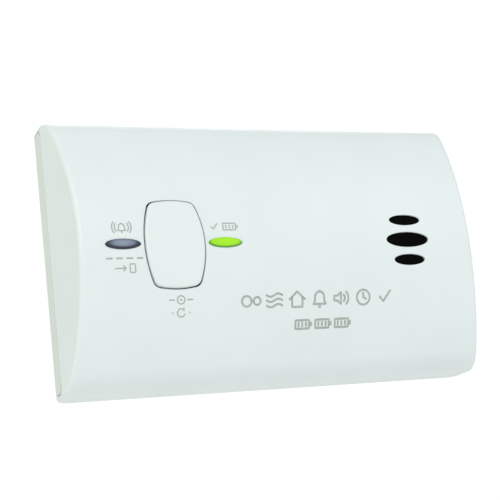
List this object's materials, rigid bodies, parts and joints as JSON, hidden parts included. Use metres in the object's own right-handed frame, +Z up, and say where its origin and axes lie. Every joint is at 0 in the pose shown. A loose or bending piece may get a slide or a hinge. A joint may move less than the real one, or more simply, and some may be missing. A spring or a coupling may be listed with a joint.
{
  "type": "carbon monoxide detector",
  "caption": "Wall-hung battery carbon monoxide detector with an arched front, test button, two indicator windows, vent slots and a rear cell door.",
  "frame": {"origin": "centre of the back face, in the wall plane Y = 0", "axes": "X to the right as seen from the front, the front faces -Y, Z up"},
  "size_m": [0.1142, 0.0247, 0.0698],
  "materials": {
    "cover_plastic": "fine satin moulded plastic, cool white",
    "case_plastic": "satin moulded plastic, cool white",
    "door_plastic": "satin moulded plastic, cool white",
    "button_plastic": "fine satin moulded plastic, cool white",
    "label_paper": "blank matt sticker",
    "cell_wrap": "glossy printed sleeve with a copper-coloured band, no words",
    "contact_steel": "nickel-plated spring strip",
    "board_laminate": "green solder resist",
    "led_body": "white moulded lamp body",
    "led_body_lit": "white moulded lamp body, lit green",
    "smoked_lens": "smoked clear plastic",
    "green_lens": "clear green plastic, lit from behind",
    "switch_plastic": "black moulded plastic",
    "plunger_plastic": "red moulded plastic",
    "horn_plastic": "black moulded plastic",
    "horn_brass": "rolled brass",
    "horn_ceramic": "silvered ceramic",
    "wire_insulation": "insulated wire",
    "screen_mesh": "fine black woven screen",
    "sensor_can": "drawn steel can",
    "filter_plug": "white filter felt",
    "capacitor_sleeve": "dark shrink sleeve",
    "coil_ferrite": "dark ferrite",
    "coil_copper": "enamelled copper wire",
    "chip_epoxy": "black moulding compound",
    "crystal_can": "pressed metal can",
    "resistor_body": "black resistor film",
    "ceramic_body": "tan ceramic",
    "screw_steel": "zinc-plated steel",
    "legend_ink": "thin printed grey-green ink"
  },
  "bodies": {
    "case": {"front_cover": "cover_plastic", "rear_case": "case_plastic", "cell_top": "cell_wrap", "cell_middle": "cell_wrap", "cell_bottom": "cell_wrap", "negative_terminal": "contact_steel", "positive_terminal": "contact_steel", "right_contact_link": "contact_steel", "left_contact_link": "contact_steel", "circuit_board": "board_laminate", "alarm_led": "led_body", "operate_led": "led_body_lit", "alarm_lens": "smoked_lens", "operate_lens": "green_lens", "switch_body": "switch_plastic", "horn_chamber": "horn_plastic", "horn_disc": "horn_brass", "horn_crystal": "horn_ceramic", "horn_cap": "horn_plastic", "horn_wires": "wire_insulation", "vent_screen": "screen_mesh", "co_sensor": "sensor_can", "sensor_filter": "filter_plug", "smoothing_capacitor": "capacitor_sleeve", "horn_coil": "coil_ferrite", "coil_winding": "coil_copper", "controller_chip": "chip_epoxy", "timing_crystal": "crystal_can", "chip_resistors": "resistor_body", "ceramic_capacitors": "ceramic_body", "case_screws": "screw_steel", "board_screws": "screw_steel"},
    "button": {"test_button": "button_plastic"},
    "plunger": {"switch_plunger": "plunger_plastic"},
    "door": {"battery_door": "door_plastic", "rating_label": "label_paper"}
  },
  "joints": [
    {"name": "button_press", "type": "slide", "parent": "case", "child": "button", "axis": [0, 1, 0], "range_m": [0, 0.00045], "stiffness_N_per_m": 1500, "springref_m": -0.0003},
    {"name": "plunger_press", "type": "slide", "parent": "case", "child": "plunger", "axis": [0, 1, 0], "range_m": [0, 0.00045]},
    {"name": "door_swing", "type": "hinge", "parent": "case", "child": "door", "pos_m": [-0.008, -0.00125, -0.02535], "axis": [-1, 0, 0], "range_deg": [0, 95]}
  ],
  "couplings": [
    {"joint": "plunger_press", "follows": "button_press", "ratio": 1}
  ]
}
